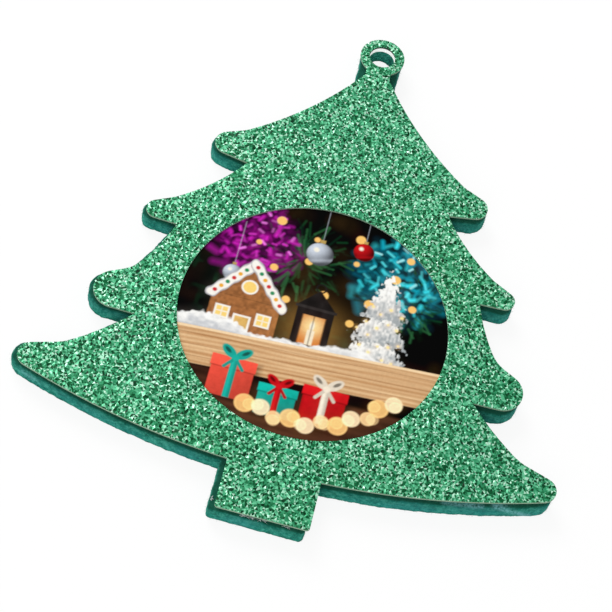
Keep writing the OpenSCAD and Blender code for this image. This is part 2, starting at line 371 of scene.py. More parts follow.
# %% A closed layer
def slab(name, path, following, rows, top, bottom, looks, smooth=True):
    """A closed layer: a filled top, a wall of rows carried along the outline, and a filled bottom. Each
    row is the outline's points at one height; top and bottom are (points, triangles). The first look is
    for the wall and the bottom, the second for the top."""
    count = len(path)
    top_points, top_triangles = top
    bottom_points, bottom_triangles = bottom
    points = np.vstack([*rows, top_points, bottom_points])
    last_row = (len(rows) - 1) * count
    level = (np.arange(len(rows) - 1) * count)[:, None]
    here, there = np.arange(count)[None] + level, following[None] + level
    wall = np.stack([here, here + count, there + count, there], axis=-1).reshape(-1, 4)
    upper = np.where(top_triangles < count, top_triangles, top_triangles + last_row)
    lower = bottom_triangles + last_row + np.where(bottom_triangles < count, 0, len(top_points))
    faces = wall.tolist() + upper.tolist() + lower[:, ::-1].tolist()
    piece = new_piece(name, points, faces, looks[0], smooth)
    piece.data.materials.append(looks[1].material)
    slots = np.zeros(len(faces), dtype=np.int32)
    slots[len(wall):len(wall) + len(upper)] = 1
    piece.data.polygons.foreach_set("material_index", slots)
    return piece


sheet_low, sheet_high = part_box("glitter_sheet")
print("the glitter sheet runs from", round(sheet_low.z / MM, 2), "to", round(sheet_high.z / MM, 2), "mm")

# %% [markdown]
# Glitter paper is a skin of foil flakes under half a millimetre wide, each tipped its own way, so
# its sparkle is thousands of small flat mirrors and not a texture. Modelling each flake as a thin
# plate would cost about ten times the faces. Here the top is one closed skin of small flat triangles
# with uneven heights: each triangle is a flake, with its own tilt and its own share of green.

# %% Glitter and cut paper
glitter = Look("green_glitter", Roughness=0.38, Specular_IOR_Level=0.1)
shade = glitter.attribute("flake", "Fac")
greens = glitter.ramp(shade, (0.0, 0, 44, 22), (0.25, 8, 98, 54), (0.55, 58, 158, 110),
                      (0.82, 114, 210, 162), (1.0, 206, 252, 226))
glitter.set(Base_Color=greens, Metallic=shade * 0.4)

cut_edge = Look("cut_paper_edge", Roughness=0.8)
fibres = cut_edge.noise(cut_edge.place(), 0.12)
tone = cut_edge.ramp(fibres, (0.3, 104, 146, 116), (0.7, 174, 202, 176))
# Painted shade: round the hanging hole the cut edge turns nearly black.
cut_edge.set(Base_Color=cut_edge.blend(cut_edge.near_hole(), tone, (*linear(16, 34, 26), 1)),
             Normal=cut_edge.bump(fibres, 0.02))
print("finishes:", glitter.material.name, "and", cut_edge.material.name)

# %% Glitter skin
FLAKE = 0.46 * MM
FLAKE_RISE = 0.13 * MM
RIM_DEPTH = 0.1 * MM
BACK_SPACING = 3 * MM

rng = np.random.default_rng(11)
inner, triangles = filled(face_path, face_next, FLAKE, seed=3, clearance=FLAKE / 3)
back_inner, back_triangles = filled(face_path, face_next, BACK_SPACING, seed=4,
                                    clearance=BACK_SPACING / 3)
rim_height = sheet_high.z - FLAKE_RISE * rng.random(len(face_path)) / 2
inner_height = sheet_high.z + FLAKE_RISE * (rng.random(len(inner)) - 0.5)
rows = [raised(face_path, height) for height in (rim_height, sheet_high.z - RIM_DEPTH, sheet_low.z)]
glitter_skin = slab("glitter_skin", face_path, face_next, rows, (raised(inner, inner_height), triangles),
                    (raised(back_inner, sheet_low.z), back_triangles), (cut_edge, glitter), smooth=False)
face_count = len(glitter_skin.data.polygons)
give(glitter_skin, "flake", "FLOAT", "FACE", "value", rng.random(face_count))
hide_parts("glitter_sheet")
print("flakes:", len(triangles), "and triangles in all:", face_count + len(face_path) * 2)

# %% [markdown]
# The felt is needle-punched: its cut side shows soft layers, its edges are rounded by the die, and
# loose fibres stand out of it. A subdivided box would look like rubber. The side is a profile of two
# rounds and a straight wall carried along the outline, pushed in and out by noise that is stretched
# along the sheet, because felt splits in layers. Fine fibres are a second piece of thin tubes. Along
# a few short lines the side is paler and bluish. Shade is painted on the side too: it darkens under
# the glitter sheet's edge and near its foot.

# %% The felt's side
TOP_ROUND, TOP_ROWS = 0.5 * MM, 7
FOOT_ROUND, FOOT_ROWS = 0.2 * MM, 6
WALL_ROWS = 11
FELT_SWELL = 0.08 * MM
FELT_LAYERS = ((0.06, 2.4, 0.16), (0.18, 1.3, 1.0), (0.16, 0.4, 1.0))
FELT_STEP = 0.32 * MM


def felt_profile(height):
    """Inset and height of each row of the side: a quarter round, a straight wall, a quarter round."""
    over = np.radians(np.linspace(90, 0, TOP_ROWS))
    under = np.radians(np.linspace(0, -90, FOOT_ROWS))
    wall = np.linspace(height - TOP_ROUND, FOOT_ROUND, WALL_ROWS + 2)[1:-1]
    inset = [TOP_ROUND * (1 - np.cos(over)), 0 * wall, FOOT_ROUND * (1 - np.cos(under))]
    rise = [height - TOP_ROUND * (1 - np.sin(over)), wall, FOOT_ROUND * (1 + np.sin(under))]
    return zip(np.concatenate(inset), np.concatenate(rise))


def felt_push(points):
    """How far felt stands out at each point: a swell with flat layers, soft lumps and fine tufts.
    FELT_LAYERS has the height and the size of each in millimetres, and how flat it is."""
    push = np.zeros(len(points))
    for seed, (height, size, flatness) in enumerate(FELT_LAYERS, 21):
        push += height * (lattice_noise(points / (1, 1, flatness), size * MM, seed) - 0.5)
    return push * MM + FELT_SWELL


felt_low, felt_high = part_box("felt_body")
felt_path, felt_next = sampled_outline("felt_body", FELT_STEP)
felt_normal = outward(felt_path, felt_next)
rows = []
for inset, rise in felt_profile(felt_high.z - felt_low.z):
    row = raised(felt_path - felt_normal * inset, felt_low.z + rise)
    row[:, :2] += felt_normal * felt_push(row)[:, None]
    rows.append(row)
print("felt side:", len(rows), "rows of", len(felt_path), "points")

# %% Felt finish
felt = Look("green_felt", Roughness=0.95, Specular_IOR_Level=0.15, Sheen_Weight=0.25, Sheen_Roughness=0.6,
            Sheen_Tint=(*linear(120, 205, 180), 1))
where = felt.place()
layers = felt.noise(where, 1.1, 4.0)
tufts = felt.noise(where, 0.34, 3.0)
green = felt.ramp(layers * 0.55 + tufts * 0.45, (0.34, 0, 84, 78), (0.48, 24, 139, 120),
                  (0.64, 82, 188, 168))
bluer = felt.noise(where, 9, 1.0).between(0.42, 0.62)
green = felt.blend(bluer * 0.4, green, (*linear(42, 140, 146), 1))
# Painted shade: the side darkens from about 1.3 mm up towards the glitter sheet's edge, most on the ledge
# just beneath the sheet, and a little near its foot.
height = felt.node("SeparateXYZ", {}, {0: where}, "Z")
shaded, ledge_shade = height.between(1.3 * MM, 2.95 * MM), height.between(2.95 * MM, 3.18 * MM)
painted_shade = shaded * 0.42 + ledge_shade * 0.48 + height.between(0.8 * MM, 0.3 * MM) * 0.2
green = felt.blend(painted_shade, green, (*linear(10, 72, 52), 1))
# The side is paler and bluish along the pale lines, broken up by the tufts.
tone = felt.attribute("pale_streaks", "Fac") * tufts.between(0.3, 0.54)
felt.set(Base_Color=felt.blend(tone, green, (*linear(124, 190, 196), 1)),
         Normal=felt.bump(tufts + layers, 0.12, 0.8))
print("nodes in the felt's finish:", len(felt.tree.nodes))

# %% Felt pad
# A pale line has two ends, half its width and a strength, all but the last in millimetres.
PALE_LINES = (((40.0, -92.8, 3.2), (46.1, -91.5, 0.3), 0.65, 1.0),
                ((30.6, -94.9, 3.2), (37.5, -93.8, 3.2), 0.4, 0.7),
                ((-48.0, -90.3, 1.9), (-45.4, -92.0, 1.7), 0.7, 0.5))
FACE_SPACING, FOOT_SPACING = 1.2 * MM, 0.8 * MM
FOOT_NAP, NAP_SIZE = 0.12 * MM, 1.1 * MM


def to_line(points, a, b):
    """Distance from each point to the line from a to b: to a + t (b - a), with t kept from 0 to 1."""
    reach = np.subtract(b, a)
    t = np.clip((points - a) @ reach / (reach @ reach), 0, 1)
    return np.linalg.norm(points - a - t[:, None] * reach, axis=1)


def pale_streaks(points):
    """How pale the felt is at each point: the largest, over the pale lines, of the line's strength times
    exp(-(distance to the line / its half width) squared)."""
    tone = np.zeros(len(points))
    for start, end, width, strength in PALE_LINES:
        tone = np.maximum(tone, strength * np.exp(-(to_line(points / MM, start, end) / width) ** 2))
    return tone


caps = []
for edge, spacing, seed in ((rows[0], FACE_SPACING, 5), (rows[-1], FOOT_SPACING, 6)):
    middle, cap_triangles = filled(edge[:, :2], felt_next, spacing, seed, spacing / 2)
    caps.append((raised(middle, edge[0, 2]), cap_triangles))
nap = caps[1][0]
nap[:, 2] += FOOT_NAP * lattice_noise(nap[:, :2], NAP_SIZE, 24)
felt_pad = slab("felt_pad", felt_path, felt_next, rows, *caps, (felt, felt))
give(felt_pad, "pale_streaks", "FLOAT", "POINT", "value", pale_streaks(points_of(felt_pad.data)))
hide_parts("felt_body")
print("felt pad:", len(felt_pad.data.polygons), "faces")

# %% Thin tubes
TUBE_RINGS, TUBE_SIDES = 4, 3
TIP_TAPER = 0.57


def bent_tubes(start, step, bend, across, thick, low, high):
    """Thin bent tubes. Point k of a tube is start + k step + k k bend, with k from 0 to 1 and its height
    kept between low and high. The points round it at each ring stand closer to it towards the tip."""
    k = np.linspace(0, 1, TUBE_RINGS)[:, None]
    middle = start[:, None] + k * step[:, None] + k * k * bend[:, None]
    middle[..., 2] = np.clip(middle[..., 2], low, high)
    turn = np.arange(TUBE_SIDES)[:, None] * 2 * np.pi / TUBE_SIDES
    side = raised(across, 0)[:, None, None] * np.cos(turn) + np.array([0, 0, 1]) * np.sin(turn)
    return middle[:, :, None] + side * (thick * (1 - TIP_TAPER * k))[:, None]


def tube_faces(count):
    """Quads round each tube and one end face at each of its tips, as indices."""
    ring, turn = np.meshgrid(np.arange(TUBE_RINGS - 1), np.arange(TUBE_SIDES), indexing="ij")
    a = ring * TUBE_SIDES + turn
    b = ring * TUBE_SIDES + (turn + 1) % TUBE_SIDES
    quads = np.stack([a, b, b + TUBE_SIDES, a + TUBE_SIDES], axis=-1).reshape(-1, 4)
    first = (np.arange(count) * TUBE_RINGS * TUBE_SIDES)[:, None, None]
    ends = np.array([np.arange(TUBE_SIDES)[::-1], (TUBE_RINGS - 1) * TUBE_SIDES + np.arange(TUBE_SIDES)])
    return (quads + first).reshape(-1, 4).tolist() + (ends + first).reshape(-1, TUBE_SIDES).tolist()


print("one tube has", len(tube_faces(1)), "faces")

# %% Loose felt fibres
FIBRES = 5200
FIBRE_ROOT, FIBRE_THICK, FIBRE_CLEAR = 0.12 * MM, 0.014 * MM, 0.05 * MM
SHORT_REACH, MORE_REACH, FIBRE_SLANT, FIBRE_LIFT, FIBRE_BEND = 0.16, 0.34, 0.35, 0.16, 0.18


def felt_fibres(count, seed):
    """Fibres that leave the felt's side, each with its own reach, slant, lift and bend in millimetres."""
    rng = np.random.default_rng(seed)
    at = rng.integers(0, len(felt_path), count)
    normal, along = felt_normal[at], felt_path[felt_next[at]] - felt_path[at]
    along = along / np.linalg.norm(along, axis=1, keepdims=True)
    height = (0.06 + 0.92 * rng.random(count) ** 1.3) * (felt_high.z - felt_low.z)
    start = raised(felt_path[at] - normal * FIBRE_ROOT, height)
    reach = (SHORT_REACH + MORE_REACH * rng.random(count) ** 2) * MM
    slant, lift = (rng.normal(0, size, count) * MM for size in (FIBRE_SLANT, FIBRE_LIFT))
    bend = rng.normal(0, FIBRE_BEND, (count, 3)) * MM
    step = raised(normal * reach[:, None] + along * slant[:, None], lift)
    return bent_tubes(start, step, bend, along, FIBRE_THICK, FIBRE_CLEAR, felt_high.z - FIBRE_CLEAR)


fuzz_look = Look("felt_fibre", Roughness=0.9, Specular_IOR_Level=0.1)
cloudy = fuzz_look.noise(fuzz_look.place(), 1.5)
fuzz_look.set(Base_Color=fuzz_look.ramp(cloudy, (0.35, 24, 112, 90), (0.65, 98, 190, 164)))
fuzz_points = felt_fibres(FIBRES, 31).reshape(-1, 3)
fuzz = new_piece("felt_fuzz", fuzz_points, tube_faces(FIBRES), fuzz_look)
print("fibres:", FIBRES, "with", len(fuzz_points), "points")

# %% [markdown]
# The white card keeps its imported shape, because a plain cut card is exactly that. Only its finish is
# made: a faint grain and a matt face. Round the hanging hole the narrow ring of card is given a glow of
# its own, painted light that makes the ring look brightly lit.

# %% White card
# Painted light: the card glows a little by itself round the hanging hole.
card = Look("white_card", Roughness=0.85, Specular_IOR_Level=0.3, Emission_Strength=0.42)
grain = card.noise(card.place(), 0.3, 3.0)
card.set(Base_Color=card.ramp(grain, (0.3, 226, 225, 222), (0.7, 250, 250, 247)),
         Emission_Color=card.blend(card.near_hole(), (0, 0, 0, 1), (1, 1, 1, 1)),
         Normal=card.bump(grain, 0.03))
card_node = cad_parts["backing_card"]
card_node.data.materials.clear()
card_node.data.materials.append(card.material)
print("card finished over", [round(v / MM, 1) for v in card_node.dimensions], "mm")

# %% [markdown]
# The card was cut with a blunt knife at the trunk: a few white shreds of it lie on the felt's ledge,
# just outside the glitter sheet. They are the felt's fibres again, thicker and in small bunches, so
# the same tube function makes them. Each place is millimetres across from the trunk's middle,
# millimetres up from its foot and a number of shreds.

# %% Shreds of card
SHRED_PLACES = ((-8.6, 1.1, 9), (-3.0, 0.0, 9), (-1.8, 0.0, 5), (0.3, 0.0, 7), (4.3, 0.0, 7))
SHRED_ROOT, SHRED_THICK = 0.65 * MM, 0.08 * MM
SHRED_LOW, SHRED_HIGH = felt_high.z + 0.05 * MM, sheet_low.z - 0.1 * MM
SHRED_SPREAD, SHRED_SLANT, SHRED_REACH, SHRED_BEND = 0.3, 0.6, 0.3, 0.12


def card_shreds(places, seed):
    """Shreds that start under the sheet's edge and point down, or left where their place is raised."""
    rng = np.random.default_rng(seed)
    table = np.repeat(np.array(places), [n for _, _, n in places], axis=0)
    left = table[:, 1:2] > 0
    normal = np.where(left, (-1, 0), (0, -1))
    along = normal[:, ::-1] * (-1, 1)
    foot = np.array([0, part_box("backing_card")[0].y])
    strewn = along * rng.normal(0, SHRED_SPREAD * MM, len(table))[:, None]
    start = foot + table[:, :2] * MM + strewn + normal * SHRED_ROOT
    slant = rng.normal(0, SHRED_SLANT, len(table)) * MM
    reach = rng.uniform(0.0, SHRED_REACH, len(table)) * MM
    step = raised(normal * reach[:, None] + along * slant[:, None], 0)
    bend = rng.normal(0, SHRED_BEND, (len(table), 3)) * MM
    height = felt_high.z + rng.uniform(0.1, 0.5, len(table)) * MM
    return bent_tubes(raised(start, height), step, bend, along, SHRED_THICK, SHRED_LOW, SHRED_HIGH)


shred_look = Look("torn_card", Roughness=0.9, Specular_IOR_Level=0.1)
cloudy = shred_look.noise(shred_look.place(), 0.6)
shred_look.set(Base_Color=shred_look.ramp(cloudy, (0.3, 206, 224, 224), (0.7, 254, 255, 254)))
shred_points = card_shreds(SHRED_PLACES, 33)
shreds = new_piece("card_shreds", shred_points.reshape(-1, 3), tube_faces(len(shred_points)), shred_look)
print("shreds of card:", len(shred_points))

# %% [markdown]
# The window shows a printed picture: a small winter still life in front of dark fir branches. A photo
# file would fix its sharpness and belong to someone, so the picture is painted with formulas. Each
# motif is a distance: how far a point of the disc lies outside a circle, a bar or a gable, in
# millimetres. A distance turned into a soft mask lays one colour over what is there, as ink would.
# The disc is a grid of points fine enough to hold the paint in a colour attribute.

# %% Grid of the ink
INKED_RADIUS = 25.5 * MM
DISC_GRID = 308


def disc_grid(count, radius):
    """A square grid bent into a disc: (u sqrt(1 - v v / 2), v sqrt(1 - u u / 2)) times the radius."""
    u, v = np.meshgrid(np.linspace(-1, 1, count), np.linspace(-1, 1, count))
    bent = np.stack([u * np.sqrt(1 - v * v / 2), v * np.sqrt(1 - u * u / 2)], axis=-1)
    return radius * bent.reshape(-1, 2)


def grid_faces(count):
    """Squares of a grid of count by count points, counter-clockwise seen from above."""
    row, column = np.meshgrid(np.arange(count - 1), np.arange(count - 1), indexing="ij")
    first = (row * count + column).ravel()
    return np.stack([first, first + 1, first + count + 1, first + count], axis=-1)


def grid_rim(count):
    """Indices round the edge of the grid, counter-clockwise."""
    last, side = count - 1, np.arange(count - 1)
    return np.concatenate([side, side * count + last, count * count - 1 - side, (last - side) * count])


ink_at = disc_grid(DISC_GRID, INKED_RADIUS)
rim = grid_rim(DISC_GRID)
print("ink:", len(ink_at), "points,", round(2 * INKED_RADIUS / MM / DISC_GRID, 3), "mm apart at most")

# %% Picture disc
INK_HEIGHT = 0.06 * MM

disc_low, disc_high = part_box("picture_disc")
disc_centre = np.array([(disc_low.x + disc_high.x) / 2, (disc_low.y + disc_high.y) / 2])
disc_radius = (disc_high.x - disc_low.x) / 2
disc_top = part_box("backing_card")[1].z
rim_at = ink_at[rim] / INKED_RADIUS * disc_radius + disc_centre
points = np.vstack([raised(ink_at + disc_centre, disc_top + INK_HEIGHT),
                    raised(rim_at, disc_top), raised(rim_at, disc_low.z)])
step = np.arange(len(rim))
after = np.roll(step, -1)
high, low = len(ink_at), len(ink_at) + len(rim)
lip = np.stack([rim, high + step, high + after, rim[after]], axis=-1)
wall = np.stack([high + step, low + step, low + after, high + after], axis=-1)
disc_faces = grid_faces(DISC_GRID).tolist() + lip.tolist() + wall.tolist() + [(low + step)[::-1].tolist()]
print("picture disc:", len(points), "points and", len(disc_faces), "faces")

# %% Turns and headings
GOLDEN_ANGLE = 137.5


def turned(points, degrees):
    """Points turned about their origin."""
    c, s = math.cos(math.radians(degrees)), math.sin(math.radians(degrees))
    return points @ np.array([[c, s], [-s, c]])


def aim(degrees):
    """One step in a heading, which is counted from the right."""
    return np.array([math.cos(math.radians(degrees)), math.sin(math.radians(degrees))])


def scattered(i, n, radii):
    """Place of copy i of n in an even scatter over an ellipse."""
    return np.array(radii) * math.sqrt(i / n) * aim(i * GOLDEN_ANGLE)


print("first of ten places in a scatter:", np.round(scattered(1, 10, (1, 1)), 2))

# %% Painting with distances
# From here to the finished picture all lengths are in millimetres.
PRINT_RADIUS = 25.3
SHARP = 0.22
NOISE_SHIFT = 100
at = ink_at / MM
ink = np.zeros((len(at), 3))


def lay(mask, shade):
    """Lays a colour, or one for each point, over the paint as thickly as the mask says."""
    ink[:] += (shade - ink) * mask[:, None]


def light(mask, shade):
    """Adds light to the paint, as a glow does."""
    ink[:] += shade * mask[:, None]


def cover(distance, soft=SHARP):
    """Mask of a shape: 1 inside, 0 outside, and a slope as wide as soft between."""
    return np.clip(0.5 - distance / soft, 0, 1)


def paint(distance, shade, soft=SHARP, strength=1.0):
    """Lays a colour over a shape that is given by its distance."""
    lay(cover(distance, soft) * strength, shade)


def noise(cell, seed, lean=0.0):
    """Smooth noise from 0 to 1 with cells of a width and a height, turned by an angle in degrees."""
    return lattice_noise(turned(at, -lean) + NOISE_SHIFT, np.array(cell, dtype=float), seed)


def tell(what):
    print(what, "painted; the mean colour is", np.round(ink.mean(axis=0), 3))


print("the print is", 2 * PRINT_RADIUS, "mm across, and its sharpest edge is", SHARP, "mm wide")

# %% Distances outside a shape
def disc(centre, radius):
    return np.linalg.norm(at - centre, axis=1) - radius


def bar(a, b, width):
    """A bar with round ends from a to b."""
    return to_line(at, a, b) - width / 2


def box(foot, width, height):
    """A rectangle that stands on its foot: the larger of its two overhangs."""
    x, y = (at - foot).T
    return np.maximum(np.abs(x) - width / 2, np.abs(y - height / 2) - height / 2)


def gable(foot, width, height):
    """A triangle that stands on its foot."""
    x, y = (at - foot).T
    slope = (np.abs(x) * height + (y - height) * width / 2) / math.hypot(height, width / 2)
    return np.maximum(slope, -y)


def oval(centre, half, lean=0.0):
    """An oval of two half widths, nearly."""
    scaled = turned(at - centre, -lean) / half
    return (np.linalg.norm(scaled, axis=1) - 1) * min(half)


print("a box of 10 by 10 mm holds", int((box((0, 0), 10, 10) < 0).sum()), "points")

# %% [markdown]
# The picture is painted from the back to the front: a dark ground with needles, tinsel and blurred
# lights, then the baubles, the fir, the house and the lantern, then the plank that they stand behind,
# and last the gifts and the row of blurred lights at its foot. Things far behind are soft and things
# near are sharp, so the softness of a mask stands for the lens.

# %% Dark ground
cloud = noise((9, 9), 41)
leafy = np.clip(noise((1.1, 1.1), 40) * 2.4 - 1.3, 0, 1) * np.clip(cloud * 2.4 - 0.8, 0, 1)
lay(np.ones(len(at)), linear(2, 2, 3))
lay(np.clip(cloud * 2 - 1.0, 0, 1), linear(3, 18, 11))
lay(np.clip(-at[:, 0] / 22 - 0.35, 0, 0.8) * noise((2.2, 2.2), 42), linear(30, 17, 11))
lay(leafy * 0.8, linear(10, 46, 26))
tell("ground")

# %% Needles and tinsel
NEEDLES = 150
MAGENTAS = linear((140, 12, 122), (206, 34, 184), (84, 4, 76), (52, 2, 48))
CYANS = linear((16, 150, 170), (60, 220, 232), (6, 84, 104), (4, 48, 60))


def strokes(centre, count, spread, length, width, inks, seed, soft):
    """Short strokes in an even scatter, each in one of the inks and turned its own way."""
    rng = np.random.default_rng(seed)
    for i in range(1, count + 1):
        middle = np.array(centre) + scattered(i, count, (spread, spread))
        half = aim(rng.uniform(0, 180)) * rng.uniform(0.6, 1.3) * length / 2
        shade = inks[rng.integers(len(inks))] * rng.uniform(0.5, 1.3)
        paint(bar(middle - half, middle + half, width * rng.uniform(0.6, 1.2)), shade, soft)


def paint_needles(centre, reach, seed):
    """Needles that point away from the centre of a branch, each in one of four greens."""
    rng = np.random.default_rng(seed)
    greens = linear((8, 44, 26), (16, 70, 38), (44, 104, 60), (4, 24, 16))
    for i in range(NEEDLES):
        heading = i * GOLDEN_ANGLE
        start = np.array(centre) + aim(heading) * reach * rng.uniform(0.05, 0.75)
        tip = start + aim(heading + rng.uniform(-35, 35)) * reach * rng.uniform(0.15, 0.32)
        paint(bar(start, tip, 0.3), greens[rng.integers(4)], 0.5, 0.85)


strokes((-14, 14), 110, 9.0, 1.6, 1.1, MAGENTAS * 0.5, 44, 1.2)
strokes((14, 13), 110, 10.0, 2.2, 1.2, CYANS * 0.5, 45, 1.3)
paint_needles((-5, 13), 11, 46)
paint_needles((15, 9), 9, 47)
strokes((-14, 15), 180, 7.5, 1.1, 0.6, MAGENTAS, 48, 0.7)
strokes((14, 14), 160, 8.5, 1.6, 0.6, CYANS, 49, 0.7)
strokes((-13, 16), 26, 6.0, 0.8, 0.4, linear((250, 130, 236), (228, 60, 206)), 55, 0.5)
strokes((14, 15), 26, 7.0, 1.2, 0.4, linear((176, 250, 252), (90, 232, 240)), 56, 0.5)
tell("needles and tinsel")

# %% Blurred lights
GOLD, PALE_GOLD, HOT = linear((246, 184, 92), (255, 226, 160), (255, 248, 228))
SPARKS, FAR_LIGHTS, FAR_RADIUS = 40, 16, 1.9
LIGHT_EDGE = 0.3


def blurred_light(centre, radius, strength, heat=0.0):
    """A light out of focus: an even disc with a brighter rim, gold or, with a heat of 1, nearly white."""
    away = disc(centre, radius)
    rim = cover(np.abs(away + radius * 0.12), radius * 0.35)
    paint(away, GOLD + (HOT - GOLD) * heat, LIGHT_EDGE, strength)
    light(cover(away, LIGHT_EDGE) * (0.16 + 0.22 * rim), PALE_GOLD)


rng = np.random.default_rng(43)
for i in range(SPARKS):
    away = disc(rng.uniform((-24, -4), (24, 25)), rng.uniform(0.8, 2.2))
    light(cover(away, 2.0) * rng.uniform(0.002, 0.016), GOLD)
for i in range(1, FAR_LIGHTS + 1):
    strewn = scattered(i, FAR_LIGHTS, (0.78 * PRINT_RADIUS, 0.5 * PRINT_RADIUS))
    blurred_light(strewn + (0, 0.42 * PRINT_RADIUS), FAR_RADIUS * (3 + i % 3) / 10, 0.95)
tell("far lights")

# %% Baubles
SILVER, RED = linear((206, 214, 226), (206, 20, 28))


def paint_bauble(centre, radius, shade):
    """A shiny ball: its face turns from the light as a sphere's does, with a window's highlight."""
    across = (at - centre) / radius
    depth = np.sqrt(np.clip(1 - (across ** 2).sum(axis=1), 0, 1))
    lit = np.clip(across @ (-0.45, 0.5) + depth * 0.74, 0, 1)
    ball = cover(disc(centre, radius))
    lay(ball, shade * (0.12 + 0.95 * lit ** 1.4)[:, None])
    light(ball * np.exp(-((across @ (0.3, -0.95) - 0.55) / 0.16) ** 2) * 0.35, shade)
    paint(disc(centre + (-0.32 * radius, 0.34 * radius), radius * 0.2), HOT, 0.4)
    paint(box(centre + (0, radius), radius * 0.4, radius * 0.3), linear(190, 160, 90))


for place, radius, shade in (((-2, 15), 2.6, SILVER), ((6, 18), 2.0, RED), ((-17, 6), 1.8, SILVER)):
    centre = np.array(place)
    paint(bar(centre + (0, radius), centre + (0, 12), 0.12), SILVER, strength=0.5)
    paint_bauble(centre, radius, shade)
tell("baubles")

# %% Snowy fir
FIR_LIGHTS = 18


def paint_fir(foot, width, height):
    """A snowy fir of three overlapping gables with a ragged edge, each greyer towards its foot and its
    right side.
    """
    rng = np.random.default_rng(51)
    ragged = 1.5 * (noise((0.7, 0.7), 52) - 0.5) + 1.0 * (noise((0.3, 0.45), 53) - 0.5)
    snow, hollow = linear((254, 252, 247), (168, 174, 176))
    grain = noise((0.35, 0.6), 54)
    for i in range(3):
        base = foot + (0, i * height / 4)
        above = np.clip((at[:, 1] - base[1]) / (height / 2), 0, 1)
        side = np.clip(0.5 + (at[:, 0] - base[0]) / width, 0, 1)
        depth = np.clip(0.72 - above * 1.5 + 0.5 * side + 0.9 * (grain - 0.5), 0, 1)[:, None]
        tier = gable(base, width * (1 - i / 5), height / 2) + ragged
        paint(tier, snow * (1 - depth) + hollow * depth, 0.5)
    for i in range(1, FIR_LIGHTS + 1):
        place = foot + (0, height * 0.36) + scattered(i, FIR_LIGHTS, (width * 0.33, height * 0.36))
        paint(disc(place, rng.uniform(0.2, 0.34)), PALE_GOLD, 0.3)
        light(cover(disc(place, 0.2), 1.6) * 0.4, GOLD)


paint_fir(np.array((12.5, -7)), 14, 22)
tell("fir")

# %% Gingerbread house
ICING, ICING_SHADE, PANE = linear((250, 247, 238), (188, 186, 190), (255, 214, 120))
SWEETS = linear((206, 34, 44), (30, 140, 90), (238, 170, 50))
SWEETS_A_SIDE = 7


def paint_roof(ridge, width, pitch):
    """Icing down both slopes from the ridge, wavy along its edge and set with sweets."""
    drip = 0.35 * np.sin(at[:, 0] * 3.4) + 0.2
    for side in (-1, 1):
        eave = ridge + aim(-90 + side * (90 - pitch)) * 0.82 * width
        run = bar(ridge, eave, 0.14 * width) + 0.3 * drip
        paint(run - 0.25, ICING_SHADE)
        paint(run, ICING)
        for i in range(SWEETS_A_SIDE):
            sweet = ridge + (eave - ridge) * (i + 0.5) / SWEETS_A_SIDE
            paint(disc(sweet, 0.42), SWEETS[i % 3])


def paint_house(foot, width, height):
    """A gingerbread house: baked walls, a roof, and a lit door and panes with icing round them."""
    roof = 0.62 * width
    biscuit = linear(168, 108, 62) * (0.66 + 0.5 * noise((0.5, 0.5), 61))[:, None]
    paint(box(foot, width, height), biscuit)
    paint(gable(foot + (0, height), width, roof), biscuit * 0.92)
    paint_roof(foot + (0, height + roof), width, math.degrees(math.atan2(roof, width / 2)))
    door = box(foot, width / 5, 0.55 * height)
    paint(door - 0.4, ICING)
    paint(door, linear(255, 206, 116) * (0.5 + 0.5 * noise((1.2, 1.2), 62))[:, None])
    for side in (-1, 1):
        sill = foot + (side * 0.3 * width, 0.45 * height)
        pane = box(sill, width / 6, width / 6)
        paint(pane - 0.35, ICING)
        paint(pane, PANE)
        cross = np.abs(at - sill - (0, width / 12)).min(axis=1)
        lay(cover(pane) * cover(cross - 0.1), ICING)
    attic = disc(foot + (0, height + roof * 0.34), 1.25)
    paint(attic - 0.35, ICING)
    paint(attic, PANE)


paint_house(np.array((-13, -8)), 13, 9)
tell("house")

# %% Lantern
def paint_lantern(foot, width, height):
    """An iron lantern: a dark case with a ringed roof, a warm pane and a candle in it."""
    case, sill = 0.7 * height, 0.12 * height
    light(np.exp(-(disc(foot + (0, case / 2), 0) / 5.5) ** 2) * 0.3, GOLD)
    iron = linear(30, 27, 26) * (0.6 + 0.9 * noise((0.8, 2.0), 71))[:, None]
    paint(np.abs(disc(foot + (0, height + 0.5), 0.9)) - 0.16, iron)
    paint(box(foot, width, case), iron)
    paint(gable(foot + (0, case), width * 1.1, height - case), iron)
    paint(box(foot + (0, case - 0.3), width * 1.12, 0.6), iron * 2.5)
    pane = box(foot + (0, sill), 0.62 * width, case - 2 * sill)
    flame = foot + (0, sill + case / 3 + 0.9)
    warm = np.exp(-(disc(flame, 0) / 2.4) ** 2)[:, None]
    paint(pane, linear(214, 120, 40) * (1 - warm) + PALE_GOLD * warm)
    paint(box(foot + (0, sill), width / 5, case / 3), linear(250, 236, 206))
    paint(oval(flame, (0.42, 1.0)), HOT, 0.4)
    for x in (-0.31, 0, 0.31):
        rod = np.abs(at[:, 0] - foot[0] - x * width) - 0.09
        lay(cover(rod) * cover(pane - 0.1) * 0.85, iron)


paint_lantern(np.array((0, -7)), 7, 14)
tell("lantern")

# %% Cotton snow
top = 3.0 * noise((5.0, 90), 81) + 0.7 * noise((0.6, 0.6), 82)
bank = np.maximum(at[:, 1] + 6.9 - top, -at[:, 1] - 11)
share = np.clip(-bank / 3.4 + 0.7 * (noise((1.0, 0.6), 83) - 0.5), 0, 0.8)[:, None]
paint(bank, linear(254, 253, 249) * (1 - share) + linear(186, 190, 196) * share, 0.5)
tell("snow")

# %% Table and plank
TABLE_DROP = 0.62 * PRINT_RADIUS
PLANK_AT, PLANK_HEIGHT, PLANK_TILT = (0, -10), 8, 4

